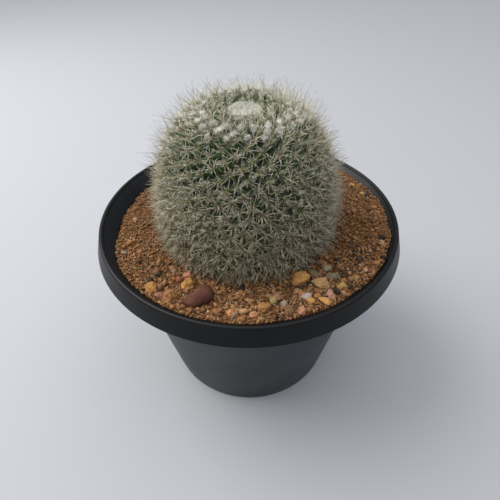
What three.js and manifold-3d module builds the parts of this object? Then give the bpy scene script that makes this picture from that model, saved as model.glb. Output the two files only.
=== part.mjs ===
// A round cactus in a black nursery pot. Millimetres, +Z up.
// Origin: centre of the pot's foot, on the surface it stands on.

import * as THREE from 'three';
import { ConvexHull } from 'three/addons/math/ConvexHull.js';
import { mergeVertices } from 'three/addons/utils/BufferGeometryUtils.js';
import Module from 'manifold-3d';

const wasm = await Module();
wasm.setup();

// Pot
const POT_HEIGHT = 140;
const FOOT_RADIUS = 67.6;
const BODY_TOP_RADIUS = 88.4;
const SKIRT_RADIUS = 104;
const SKIRT_DEPTH = 12.5;
const RIM_TOP_RADIUS = 99.2;
const MOUTH_RADIUS = 97.6;
const WALL = 2;
const FLOOR_TOP = 5;
const FOOT_RECESS = 3;
const DRAIN_HOLES = 6;
const DRAIN_RADIUS = 6;
const DRAIN_CIRCLE = 42;
const POT_SEGMENTS = 60;

// Clearance between neighbouring pieces
const GAP = 0.35;

// Grit bed: mean level at the pot's axis, its slope along X and Y, and the heap at the front left
const GRIT_LEVEL = 134.2;
const GRIT_SLOPE_X = 0.032;
const GRIT_SLOPE_Y = -0.015;
const GRIT_HEAP = 3;

// Stem: an egg of revolution with a hollowed crown, its axis a little in front of the pot's
const STEM_X = -1.3;
const STEM_Y = -10.2;
const STEM_RADIUS = 54.5;
const WAIST_Z = 147.2;
const UPPER_HEIGHT = 76.4;
const UPPER_POWER = 2.29;
const LOWER_HEIGHT = 44;
const CROWN_HOLLOW = 10;
const CROWN_HOLLOW_WIDTH = 22;
const ROOT_TIP_Z = 58;

// Tubercles stand on a golden-angle spiral that runs clockwise away from the crown
const GOLDEN_ANGLE = -Math.PI * (3 - Math.sqrt(5));
const TUBERCLE_AREA = 43;
const YOUNG_AREA = 14;
const YOUNG_REACH = 26;
const TUBERCLE_HEIGHT = 4.2;
const ROWS = 21;
const ROW_PHASE = THREE.MathUtils.degToRad(10.9);
const ROW_PHASE_REACH = 28;

// Wool
const CROWN_WOOL_RADIUS = 10.7;
const WOOL_REACH_FROM = 24;
const WOOL_REACH_TO = 33;

// Longest central spines at the crown
const CROWN_SPINES = 6;
const CROWN_SPINE_LENGTH = 6.2;

const COLOURS = {
  pot: 0x26282b,
  grit: 0x7a5636,
  stem: 0x3f5230,
  wool: 0xe6e4da,
  spine: 0x4a3226,
};

const model = new THREE.Group();

function addPiece(name, geometry, colour, roughness) {
  const material = new THREE.MeshStandardMaterial({ color: colour, roughness, metalness: 0 });
  const mesh = new THREE.Mesh(geometry, material);
  mesh.name = name;
  model.add(mesh);
  return mesh;
}

// ---- solids ----

function toSolid(geometry) {
  const bare = new THREE.BufferGeometry();
  bare.setAttribute('position', geometry.getAttribute('position'));
  bare.setIndex(geometry.getIndex());
  const merged = mergeVertices(bare, 1e-4);
  return new wasm.Manifold(new wasm.Mesh({
    numProp: 3,
    vertProperties: new Float32Array(merged.getAttribute('position').array),
    triVerts: new Uint32Array(merged.getIndex().array),
  }));
}

function toGeometry(solid) {
  const mesh = solid.getMesh();
  const geometry = new THREE.BufferGeometry();
  geometry.setAttribute('position', new THREE.BufferAttribute(mesh.vertProperties, 3));
  geometry.setIndex(new THREE.BufferAttribute(mesh.triVerts, 1));
  return geometry;
}

// A lathe about Z: profile points are [radius, height], from the axis round to the axis.
function latheAboutZ(points, segments) {
  const profile = points.map(([radius, height]) => new THREE.Vector2(radius, height));
  return new THREE.LatheGeometry(profile, segments).rotateX(Math.PI / 2);
}

// ---- pot ----

const skirtBottomZ = POT_HEIGHT - SKIRT_DEPTH;
const wallTaper = (BODY_TOP_RADIUS - FOOT_RADIUS) / skirtBottomZ;
const flareBottomRadius = BODY_TOP_RADIUS - WALL;
const flareTopZ = POT_HEIGHT - 1.1;
const flareSlope = (MOUTH_RADIUS - flareBottomRadius) / (flareTopZ - skirtBottomZ);

// Radius of the pot's inner face at a height.
function innerRadius(z) {
  if (z < skirtBottomZ) return flareBottomRadius - (skirtBottomZ - z) * wallTaper;
  return flareBottomRadius + (z - skirtBottomZ) * flareSlope;
}

function makePot() {
  const body = toSolid(latheAboutZ([
    [0, FOOT_RECESS],
    [55, FOOT_RECESS],
    [56.5, 0],
    [66.2, 0],
    [FOOT_RADIUS, 1.6],
    [BODY_TOP_RADIUS - 0.3, skirtBottomZ - 1.8],
    [98.4, 136.9],
    [99.4, 136.2],
    [101.9, skirtBottomZ],
    [102.9, skirtBottomZ - 0.6],
    [SKIRT_RADIUS, skirtBottomZ],
    [101.2, 136.8],
    [100.6, 139],
    [RIM_TOP_RADIUS, POT_HEIGHT],
    [98.2, 139.7],
    [MOUTH_RADIUS, flareTopZ],
    [flareBottomRadius, skirtBottomZ],
    [innerRadius(8), 8],
    [innerRadius(8) - 3, FLOOR_TOP],
    [0, FLOOR_TOP],
  ], POT_SEGMENTS));
  const drill = new THREE.CylinderGeometry(DRAIN_RADIUS, DRAIN_RADIUS, 12, 16).rotateX(Math.PI / 2);
  let pot = body;
  for (let i = 0; i < DRAIN_HOLES; i += 1) {
    const angle = (i / DRAIN_HOLES) * Math.PI * 2;
    const hole = drill.clone().translate(DRAIN_CIRCLE * Math.cos(angle), DRAIN_CIRCLE * Math.sin(angle), 4);
    pot = pot.subtract(toSolid(hole));
  }
  return toGeometry(pot);
}

// ---- stem ----

// Height of the stem above the waist at a radius.
function upperHeight(radius) {
  const share = Math.min(radius / STEM_RADIUS, 1);
  const egg = UPPER_HEIGHT * (1 - share ** UPPER_POWER) ** (1 / UPPER_POWER);
  return WAIST_Z + egg - CROWN_HOLLOW * Math.exp(-((radius / CROWN_HOLLOW_WIDTH) ** 2));
}

// The tubercle tips' profile, from the crown to the root's tip, as points [radius, height].
function stemProfile() {
  const points = [];
  const upperSteps = 60;
  for (let i = 0; i <= upperSteps; i += 1) {
    const radius = STEM_RADIUS * Math.sin((i / upperSteps) * Math.PI / 2);
    points.push(new THREE.Vector2(radius, upperHeight(radius)));
  }
  const lowerSteps = 10;
  const buriedTopZ = 131;
  for (let i = 1; i <= lowerSteps; i += 1) {
    const z = WAIST_Z + (buriedTopZ - WAIST_Z) * (i / lowerSteps);
    points.push(new THREE.Vector2(STEM_RADIUS * Math.sqrt(1 - ((WAIST_Z - z) / LOWER_HEIGHT) ** 2), z));
  }
  const last = points[points.length - 1];
  const buried = new THREE.SplineCurve([
    last,
    new THREE.Vector2(44, 121),
    new THREE.Vector2(30, 112),
    new THREE.Vector2(15, 104),
    new THREE.Vector2(8, 92),
    new THREE.Vector2(5, 74),
    new THREE.Vector2(2.2, ROOT_TIP_Z + 1),
    new THREE.Vector2(0, ROOT_TIP_Z),
  ]);
  return points.concat(buried.getPoints(50).slice(1));
}

const profile = stemProfile();

// Along the profile: reach (path length from the crown), how many tubercles fit above it,
// and the polar angle of the conformal sphere that carries the pattern.
const track = [];

function areaAt(reach) {
  const age = THREE.MathUtils.smoothstep(reach, 0, YOUNG_REACH);
  return YOUNG_AREA + (TUBERCLE_AREA - YOUNG_AREA) * age;
}

function measureProfile() {
  let reach = 0;
  let count = 0;
  let mercator = 0;
  track.push({ reach, count, mercator, radius: 0, z: profile[0].y });
  for (let i = 1; i < profile.length; i += 1) {
    const step = profile[i].distanceTo(profile[i - 1]);
    const middle = Math.max((profile[i].x + profile[i - 1].x) / 2, 0.2);
    reach += step;
    count += (2 * Math.PI * middle * step) / areaAt(reach);
    mercator += step / middle;
    track.push({ reach, count, mercator, radius: profile[i].x, z: profile[i].y });
  }
}

measureProfile();

// The point of the track where one of its values reaches a target, interpolated.
function trackAt(key, target) {
  let i = 1;
  while (i < track.length - 1 && track[i][key] < target) i += 1;
  const a = track[i - 1];
  const b = track[i];
  const share = THREE.MathUtils.clamp((target - a[key]) / (b[key] - a[key]), 0, 1);
  const at = { slopeR: (b.radius - a.radius) / (b.reach - a.reach), slopeZ: (b.z - a.z) / (b.reach - a.reach) };
  for (const name of ['reach', 'count', 'mercator', 'radius', 'z']) {
    at[name] = THREE.MathUtils.lerp(a[name], b[name], share);
  }
  return at;
}

// Every 21st tubercle makes a row. A row turns by rowTurn for each tubercle counted on.
const rowTurn = GOLDEN_ANGLE + (Math.PI * 2 * 8) / ROWS;
const spiralStart = ROW_PHASE - rowTurn * trackAt('reach', ROW_PHASE_REACH).count;

// The angle round the stem of tubercle number n.
function spiralAngle(n) {
  return spiralStart + GOLDEN_ANGLE * n;
}

// The angle round the stem of a row where n tubercles have been counted; row + 0.5 is a groove.
function rowAngle(n, row) {
  return spiralStart + rowTurn * n + (row / ROWS) * Math.PI * 2;
}

// A point of the stem, lifted off the profile along its outward normal.
function stemPoint(at, angle, lift) {
  const radius = at.radius - at.slopeZ * lift;
  const z = at.z + at.slopeR * lift;
  return new THREE.Vector3(STEM_X + radius * Math.cos(angle), STEM_Y + radius * Math.sin(angle), z);
}

// Where a place on the stem lies on the conformal sphere, whose hull joins neighbours.
const waistMercator = track[60].mercator;

function spherePoint(mercator, angle) {
  const polar = 2 * Math.atan(Math.exp(mercator - waistMercator));
  return new THREE.Vector3().setFromSphericalCoords(1, polar, angle);
}

const lowestTubercleZ = GRIT_LEVEL - 1;
const lastTubercle = track.filter((at) => at.z > lowestTubercleZ).pop().count;

// The stem with its tubercles: each tip is a corner, and each face between tips is dented.
// swell grows the whole stem, for the hollow that it fills in the grit.
function makeStem(swell) {
  const points = [];
  for (let n = 0; n < lastTubercle; n += 1) {
    const at = trackAt('count', n + 0.5);
    points.push({ at, angle: spiralAngle(n + 0.5), raised: true });
  }
  const rings = [[128, 26], [117, 18], [107.5, 10], [98, 8], [86, 6], [72, 6], [61, 6]];
  for (const [z, sides] of rings) {
    const at = trackAt('reach', track.find((step) => step.z < z && step.reach > 60).reach);
    for (let i = 0; i < sides; i += 1) {
      points.push({ at, angle: ((i + (z % 2) / 2) / sides) * Math.PI * 2, raised: false });
    }
  }
  points.push({ at: trackAt('reach', Infinity), angle: 0, raised: false });

  const onSphere = points.map(({ at, angle }) => spherePoint(at.mercator, angle));
  const numberOf = new Map(onSphere.map((point, i) => [point, i]));
  const hull = new ConvexHull().setFromPoints(onSphere);
  const positions = points.map(({ at, angle }) => stemPoint(at, angle, swell));
  const index = [];
  for (const face of hull.faces) {
    const corners = [face.getEdge(0), face.getEdge(1), face.getEdge(2)].map((edge) => numberOf.get(edge.head().point));
    const [a, b, c] = corners;
    if (!corners.every((i) => points[i].raised)) {
      index.push(a, b, c);
      continue;
    }
    const width = Math.sqrt(areaAt(points[a].at.reach) / TUBERCLE_AREA);
    const centre = positions[a].clone().add(positions[b]).add(positions[c]).divideScalar(3);
    const outward = positions[b].clone().sub(positions[a]).cross(positions[c].clone().sub(positions[a])).normalize();
    positions.push(centre.addScaledVector(outward, -TUBERCLE_HEIGHT * width));
    const d = positions.length - 1;
    index.push(a, b, d, b, c, d, c, a, d);
  }
  const geometry = new THREE.BufferGeometry().setFromPoints(positions);
  geometry.setIndex(index);
  return geometry;
}

// ---- wool ----

function makeCrownWool(swell) {
  const centreZ = upperHeight(0);
  const radius = CROWN_WOOL_RADIUS + swell;
  return latheAboutZ([
    [0, centreZ - 2.5 - swell],
    [radius * 0.75, centreZ - 1.8 - swell],
    [radius, centreZ + 0.9],
    [radius * 0.86, centreZ + 2.8 + swell],
    [radius * 0.5, centreZ + 3.2 + swell],
    [0, centreZ + 3 + swell],
  ], 24).translate(STEM_X, STEM_Y, 0);
}

// One tuft of axil wool lies along the groove between two of the rows.
function makeTuft(row, swell) {
  const ends = [WOOL_REACH_FROM, WOOL_REACH_TO].map((reach) => {
    const at = trackAt('reach', reach);
    return stemPoint(at, rowAngle(at.count, row + 0.5), -0.2);
  });
  const along = ends[1].clone().sub(ends[0]);
  const length = along.length();
  along.normalize();
  const outward = ends[0].clone().sub(new THREE.Vector3(STEM_X, STEM_Y, WAIST_Z)).normalize();
  const across = outward.clone().cross(along).normalize();
  outward.crossVectors(along, across);
  const size = 0.85 + 0.15 * Math.sin(row * 2.4);
  const turn = new THREE.Matrix4().makeBasis(along, across, outward);
  turn.setPosition(ends[0].add(ends[1]).multiplyScalar(0.5));
  const ball = swell ? new THREE.IcosahedronGeometry(1.2, 0) : new THREE.IcosahedronGeometry(1, 1);
  return ball
    .scale(length * 0.5 * size + swell, 2 * size + swell, 1.7 * size + swell)
    .applyMatrix4(turn);
}

// ---- crown spines ----

function makeCrownSpine(i) {
  const at = trackAt('reach', 18);
  const angle = (i / CROWN_SPINES) * Math.PI * 2 + 0.4;
  const foot = stemPoint(at, angle, 0.5);
  const lean = new THREE.Vector3(Math.cos(angle) * 0.16, Math.sin(angle) * 0.16, 1).normalize();
  const spine = new THREE.ConeGeometry(0.45, CROWN_SPINE_LENGTH, 6).translate(0, CROWN_SPINE_LENGTH / 2, 0);
  const turn = new THREE.Quaternion().setFromUnitVectors(new THREE.Vector3(0, 1, 0), lean);
  return spine.applyQuaternion(turn).translate(foot.x, foot.y, foot.z);
}

// ---- grit ----

function gritHeight(x, y) {
  const ripple = 0.5 * Math.sin(x * 0.09 + 1.3) * Math.cos(y * 0.11) + 0.3 * Math.sin(x * 0.2 + y * 0.17);
  const heap = GRIT_HEAP * THREE.MathUtils.smoothstep(-0.55 * x - 0.83 * y, 55, 95);
  return GRIT_LEVEL + GRIT_SLOPE_X * x + GRIT_SLOPE_Y * y + ripple + heap;
}

function makeGritBed() {
  const topRings = [0.86, 0.7];
  const wallGap = 0.6;
  const geometry = latheAboutZ([
    [0, FLOOR_TOP + GAP],
    [innerRadius(8) - 3 - wallGap, FLOOR_TOP + GAP],
    [innerRadius(8) - wallGap, 8 + GAP],
    [innerRadius(skirtBottomZ) - wallGap, skirtBottomZ],
    [1000, 0],
    ...topRings.map((share) => [1000 * share, 0]),
    [0, GRIT_LEVEL],
  ], POT_SEGMENTS);
  const places = geometry.getAttribute('position');
  for (let i = 0; i < places.count; i += 1) {
    const radius = Math.hypot(places.getX(i), places.getY(i));
    if (radius < 500) continue;
    const share = radius / 1000;
    const cos = places.getX(i) / radius;
    const sin = places.getY(i) / radius;
    let edge = MOUTH_RADIUS;
    for (let pass = 0; pass < 6; pass += 1) {
      edge = innerRadius(gritHeight(edge * cos, edge * sin)) - wallGap;
    }
    const x = edge * share * cos;
    const y = edge * share * sin;
    places.setXYZ(i, x, y, gritHeight(x, y));
  }
  return geometry;
}

// ---- stones ----

// Each stone: name, centre X and Y, length, width, height, turn in degrees, colour.
const STONES = [
  ['dark_red_stone', -27.6, -79.1, 20, 11.5, 9.5, 40, 0x5a332b],
  ['salmon_pebble', -35.5, -59.8, 6, 6.4, 5.5, 20, 0xa8654a],
  ['ochre_pebble_left', -35.5, -66.5, 8, 7, 5, 65, 0x9a6d3c],
  ['rust_pebble', -40.6, -62.3, 4.4, 4, 3.4, 10, 0x84523a],
  ['ochre_stone_left', -54.9, -70.9, 7.6, 6.6, 5.4, 130, 0x9c6a2c],
  ['ochre_stone_front_left', -44, -77, 8.6, 7.6, 7, 35, 0xa97440],
  ['pink_stone_left', -49.9, -76.2, 5, 4.6, 4.6, 100, 0x9a6050],
  ['yellow_stone', 29.2, -64.4, 10, 8.4, 7.6, 10, 0xb07f38],
  ['ochre_slab', 40.8, -67.8, 10, 6.6, 4.6, -10, 0xb58a52],
  ['ochre_pebble_right', 52.4, -69.6, 5.4, 4.8, 4, 15, 0x9f7c44],
  ['olive_chip_near', 38.2, -59.5, 8.4, 5.4, 3, -30, 0x6b5d3f],
  ['olive_chip_far', 48.6, -62, 8, 5, 3, 5, 0x6e6249],
  ['pale_chip', 46.6, -55.2, 5.6, 4.2, 3, 35, 0x837862],
  ['pink_grey_chip', 31.2, -76.8, 6.6, 4.6, 3.4, 5, 0x9c8a80],
  ['orange_sliver', 40.8, -80.4, 8.6, 4, 3, -42, 0xb07c40],
  ['tan_pebble_right', 33.8, -80.9, 4.4, 4, 3.6, 0, 0xb3854d],
  ['salmon_pebble_right', 28.1, -87.7, 5.6, 4.2, 4.6, 75, 0xb8775a],
  ['brown_stone', 21.8, -86.5, 6.6, 5.8, 4.6, -20, 0x6c5236],
  ['grey_pebble', 18.9, -82.4, 4.2, 4, 3.8, 60, 0x8c8070],
  ['tan_stone_front', 8.2, -84.6, 7.2, 5.8, 4.8, 20, 0x8f6c44],
  ['olive_pebble_front', 13.4, -79.7, 4.6, 4.6, 3.8, 45, 0x88744c],
  ['pink_chip_right', 45.0, -76.8, 6.6, 4.2, 3.6, 115, 0xa27a68],
  ['salmon_pebble_front', 2.6, -89.6, 5.4, 4, 3.6, 10, 0xb0704e],
  ['salmon_sliver_front', -10.4, -89.0, 5, 3.6, 3.2, -15, 0xa9754c],
  ['slate_chip_back', 46.0, 58.0, 8, 5, 3.4, 40, 0x6d6454],
  ['ochre_stone_back', -38.0, 66.0, 9, 7.4, 5.6, 25, 0xa0703a],
  ['tan_pebble_back', 8.0, 72.0, 6, 5, 4.4, 70, 0x9a784e],
];

// A worn, knobbly stone: a sphere pushed towards a box and rippled, then stretched to its size.
function makeStone([, x, y, length, width, height, turn], seed, swell) {
  const stone = new THREE.IcosahedronGeometry(1, 1);
  const places = stone.getAttribute('position');
  const point = new THREE.Vector3();
  for (let i = 0; i < places.count; i += 1) {
    point.fromBufferAttribute(places, i);
    const largest = Math.max(Math.abs(point.x), Math.abs(point.y), Math.abs(point.z));
    const boxy = 0.78 + 0.22 / largest * 0.8;
    const ripple = 0.08 * Math.sin(point.x * 3.1 + seed * 1.7) + 0.07 * Math.sin(point.y * 3.7 + point.z * 2.3 + seed);
    point.multiplyScalar(boxy * (0.94 + ripple));
    places.setXYZ(i, point.x, point.y, point.z);
  }
  return stone
    .scale(length / 2 + swell, width / 2 + swell, height / 2 + swell)
    .rotateZ(THREE.MathUtils.degToRad(turn))
    .translate(x, y, gritHeight(x, y) + height * 0.16);
}

// ---- assembly ----

let stem = toSolid(makeStem(0));
stem = stem.subtract(toSolid(makeCrownWool(GAP)));
for (let row = 0; row < ROWS; row += 1) stem = stem.subtract(toSolid(makeTuft(row, GAP)));

let grit = toSolid(makeGritBed()).subtract(toSolid(makeStem(GAP + 0.15)));
STONES.forEach((stone, i) => {
  grit = grit.subtract(toSolid(makeStone(stone, i, GAP + 0.05)));
});

addPiece('pot', makePot(), COLOURS.pot, 0.5);
addPiece('grit_bed', toGeometry(grit), COLOURS.grit, 0.95);
addPiece('cactus_stem', toGeometry(stem), COLOURS.stem, 0.6);
addPiece('crown_wool', makeCrownWool(0), COLOURS.wool, 1);
for (let row = 0; row < ROWS; row += 1) {
  addPiece(`wool_tuft_${String(row + 1).padStart(2, '0')}`, makeTuft(row, 0), COLOURS.wool, 1);
}
for (let i = 0; i < CROWN_SPINES; i += 1) {
  addPiece(`crown_spine_${i + 1}`, makeCrownSpine(i), COLOURS.spine, 0.5);
}
STONES.forEach((stone, i) => {
  addPiece(stone[0], makeStone(stone, i, 0), stone[7], 0.9);
});

export default model;
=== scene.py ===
# Round pincushion cactus in a black nursery pot. Metres, +Z up, the camera's side is -Y.
import math
import bpy
import numpy as np
from mathutils import Matrix, Vector, noise


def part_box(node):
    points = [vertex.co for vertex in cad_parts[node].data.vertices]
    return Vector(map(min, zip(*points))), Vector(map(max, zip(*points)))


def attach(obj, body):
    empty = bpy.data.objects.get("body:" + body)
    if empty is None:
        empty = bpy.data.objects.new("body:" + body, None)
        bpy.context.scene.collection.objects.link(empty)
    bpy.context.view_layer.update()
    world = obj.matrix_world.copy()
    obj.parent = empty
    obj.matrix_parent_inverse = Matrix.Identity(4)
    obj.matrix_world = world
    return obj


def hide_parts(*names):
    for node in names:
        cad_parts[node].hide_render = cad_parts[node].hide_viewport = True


mm = 0.001
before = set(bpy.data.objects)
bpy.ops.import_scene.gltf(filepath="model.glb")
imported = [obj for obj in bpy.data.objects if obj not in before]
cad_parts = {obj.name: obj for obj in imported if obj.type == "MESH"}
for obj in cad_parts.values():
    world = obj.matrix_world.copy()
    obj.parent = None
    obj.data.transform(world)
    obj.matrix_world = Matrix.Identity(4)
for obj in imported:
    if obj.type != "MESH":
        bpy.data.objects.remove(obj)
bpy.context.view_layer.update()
bpy.ops.object.select_all(action="DESELECT")

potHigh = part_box("pot")[1]
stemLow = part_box("cactus_stem")[0]
crownLow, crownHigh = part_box("crown_wool")
stemAxis = (crownLow + crownHigh) / 2
rimZ = potHigh.z


def srgb(hexColour, alpha=1.0):  # "#rrggbb" to the linear values that a socket takes
    parts = [int(hexColour[i : i + 2], 16) / 255 for i in (1, 3, 5)]
    linear = [c / 12.92 if c <= 0.04045 else ((c + 0.055) / 1.055) ** 2.4 for c in parts]
    return (*linear, alpha)


# Adds a shader node: its kind, the values and the links of its sockets, and its settings.
def addNode(tree, kind, values=None, links=None, **settings):
    made = tree.nodes.new("ShaderNode" + kind)
    for name, value in settings.items():
        setattr(made, name, value)
    for socket, value in (values or {}).items():
        made.inputs[socket].default_value = value
    for socket, source in (links or {}).items():
        tree.links.new(source, made.inputs[socket])
    return made


def newMaterial(name):
    material = bpy.data.materials.new(name)
    material.use_nodes = True
    material.node_tree.nodes.clear()
    return material, material.node_tree


def setRamp(ramp, stops):
    elements = ramp.color_ramp.elements
    while len(elements) < len(stops):
        elements.new(0.5)
    for element, (position, colour) in zip(elements, stops):
        element.position = position
        element.color = srgb(colour) if isinstance(colour, str) else (colour, colour, colour, 1)
    return ramp


def dressAs(piece, material, slot, *nodes):
    piece.data.materials.clear()
    piece.data.materials.append(material)
    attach(piece, "root")
    if nodes:
        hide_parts(*nodes)
    return piece


def onlySelect(piece):
    bpy.ops.object.select_all(action="DESELECT")
    piece.select_set(True)
    bpy.context.view_layer.objects.active = piece


def applyPlace(piece):
    onlySelect(piece)
    bpy.ops.object.transform_apply(location=True, rotation=True, scale=True)


def applyModifier(piece, kind, **settings):
    onlySelect(piece)
    modifier = piece.modifiers.new(kind.lower(), kind)
    for name, value in settings.items():
        setattr(modifier, name, value)
    bpy.ops.object.modifier_apply(modifier=modifier.name)


def cornersOf(piece):
    places = np.empty(len(piece.data.vertices) * 3)
    piece.data.vertices.foreach_get("co", places)
    return places.reshape(-1, 3)


def moveCorners(piece, places):
    piece.data.vertices.foreach_set("co", np.asarray(places, np.float32).ravel())
    piece.data.update()


# Turns a profile of [radius, height] in mm about Z, starting and ending on the axis.
def turnProfile(name, profile, segments, centre=(0, 0)):
    bpy.ops.mesh.primitive_circle_add(vertices=segments, radius=profile[1][0] * mm, fill_type="NGON",
                                      location=(0, 0, profile[1][1] * mm))
    piece = bpy.context.object
    piece.name = name
    bpy.ops.object.mode_set(mode="EDIT")
    bpy.ops.mesh.select_all(action="SELECT")
    bpy.ops.mesh.poke()  # the disc on the axis
    bpy.ops.mesh.select_mode(type="EDGE")
    bpy.ops.mesh.select_all(action="SELECT")
    bpy.ops.mesh.region_to_loop()
    radius, height = profile[1]
    for nextRadius, nextHeight in profile[2:-1]:
        bpy.ops.mesh.extrude_edges_move(
            TRANSFORM_OT_translate={"value": (0, 0, (nextHeight - height) * mm)})
        share = nextRadius / radius
        bpy.ops.transform.resize(value=(share, share, 1), center_override=(0, 0, nextHeight * mm))
        radius, height = nextRadius, nextHeight
    bpy.ops.mesh.edge_face_add()
    bpy.ops.mesh.poke()
    bpy.ops.mesh.select_all(action="SELECT")
    bpy.ops.mesh.normals_make_consistent(inside=False)
    bpy.ops.object.mode_set(mode="OBJECT")
    applyPlace(piece)
    places = cornersOf(piece)
    onAxis = np.hypot(places[:, 0], places[:, 1]) < 1e-6
    for height in (profile[0][1], profile[-1][1]):  # the two middle corners take the profile's ends
        near = onAxis & (np.abs(places[:, 2] - height * mm) < 4 * mm)
        places[near, 2] = height * mm
    places[:, 0] += centre[0]
    places[:, 1] += centre[1]
    moveCorners(piece, places)
    return piece


# Copies a modelled pattern to every place in one mesh, each copy with its own corners.
# spots: n 4x4 matrices. tones: n numbers that the material reads, with the pattern's own height.
def scatter(name, pattern, spots, tones, ages=None):
    source = pattern.data
    corners = cornersOf(pattern)
    count = len(corners)
    copies = len(spots)
    spots = np.asarray(spots, np.float32)
    placed = np.einsum("nij,kj->nki", spots[:, :3, :3], corners) + spots[:, None, :3, 3]
    loops = np.empty(len(source.loops), np.int32)
    source.loops.foreach_get("vertex_index", loops)
    starts = np.empty(len(source.polygons), np.int32)
    source.polygons.foreach_get("loop_start", starts)
    offsets = np.arange(copies, dtype=np.int32)[:, None]
    mesh = bpy.data.meshes.new(name)
    mesh.vertices.add(count * copies)
    mesh.vertices.foreach_set("co", placed.astype(np.float32).ravel())
    mesh.loops.add(len(loops) * copies)
    mesh.loops.foreach_set("vertex_index", (loops[None, :] + offsets * count).ravel())
    mesh.polygons.add(len(starts) * copies)
    mesh.polygons.foreach_set("loop_start", (starts[None, :] + offsets * len(loops)).ravel())
    mesh.update(calc_edges=True)
    along = corners[:, 2] / max(corners[:, 2].max(), 1e-9)
    for title, values in (
        ("tone", np.repeat(tones, count)),
        ("along", np.tile(along, copies)),
        ("age", np.repeat(tones if ages is None else ages, count)),
    ):
        attribute = mesh.attributes.new(title, "FLOAT", "POINT")
        attribute.data.foreach_set("value", np.asarray(values, np.float32))
    piece = bpy.data.objects.new(name, mesh)
    bpy.context.scene.collection.objects.link(piece)
    return piece


def discard(*patterns):
    for pattern in patterns:
        bpy.data.objects.remove(pattern)


def unit(vectors):
    return vectors / np.linalg.norm(vectors, axis=-1, keepdims=True)


def spotsFrom(feet, x, y, z):  # n matrices from their axes, each as long as the copy is to be
    spots = np.zeros((len(feet), 4, 4), np.float32)
    spots[:, :3, 0], spots[:, :3, 1], spots[:, :3, 2], spots[:, :3, 3] = x, y, z, feet
    spots[:, 3, 3] = 1
    return spots


# Carries the pattern's +Z along each direction, turned by spin about it.
def aim(feet, directions, lengths, widths, spins):
    z = unit(directions)
    helper = np.where(np.abs(z[:, 2:3]) < 0.9, [[0.0, 0.0, 1.0]], [[1.0, 0.0, 0.0]])
    x = unit(np.cross(helper, z))
    y = np.cross(z, x)
    c, s, width = np.cos(spins)[:, None], np.sin(spins)[:, None], widths[:, None]
    return spotsFrom(feet, (x * c + y * s) * width, (y * c - x * s) * width, z * lengths[:, None])


camera = {
    "lens": 27.7,
    "back": 267.6,  # distance from the rim's centre, mm
    "tilt": 42.63,  # degrees below level
    "rise": -28.5,  # mm across the view
    "across": 0.7,
    "roll": -0.52,
}


def makeCamera():
    tilt = math.radians(camera["tilt"])
    ahead = Vector((0, math.cos(tilt), -math.sin(tilt)))
    up = Vector((0, math.sin(tilt), math.cos(tilt)))
    data = bpy.data.cameras.new("camera")
    data.lens = camera["lens"]
    data.clip_start = 0.01
    eye = bpy.data.objects.new("camera", data)
    bpy.context.scene.collection.objects.link(eye)
    eye.location = (
        Vector((0, 0, rimZ)) - ahead * camera["back"] * mm + up * camera["rise"] * mm
        + Vector((camera["across"] * mm, 0, 0))
    )
    turn = ahead.to_track_quat("-Z", "Y").to_matrix()
    eye.rotation_mode = "QUATERNION"
    eye.rotation_quaternion = (turn @ Matrix.Rotation(math.radians(camera["roll"]), 3, "Z")).to_quaternion()
    bpy.context.scene.camera = eye


makeCamera()
print("camera placed")

potShape = {
    "segments": 144,
    "footRadius": 67.6,
    "footInner": 56.0,
    "footRecess": 3.0,
    "bodyTopRadius": 88.4,
    "wall": 2.0,
    "floorTop": 5.0,
    "skirtDepth": 12.5,
    "mouthRadius": 97.6,
    "drainHoles": 6,
    "drainRadius": 6.0,
    "drainCircle": 42.0,
    "lipRadius": 99.2,  # the middle of the rolled lip's section, with its two half sizes
    "lipAcross": 1.65,
    "lipHigh": 1.7,
    "floorCurve": 8,  # where the inner face starts to curve into the floor
}


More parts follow.
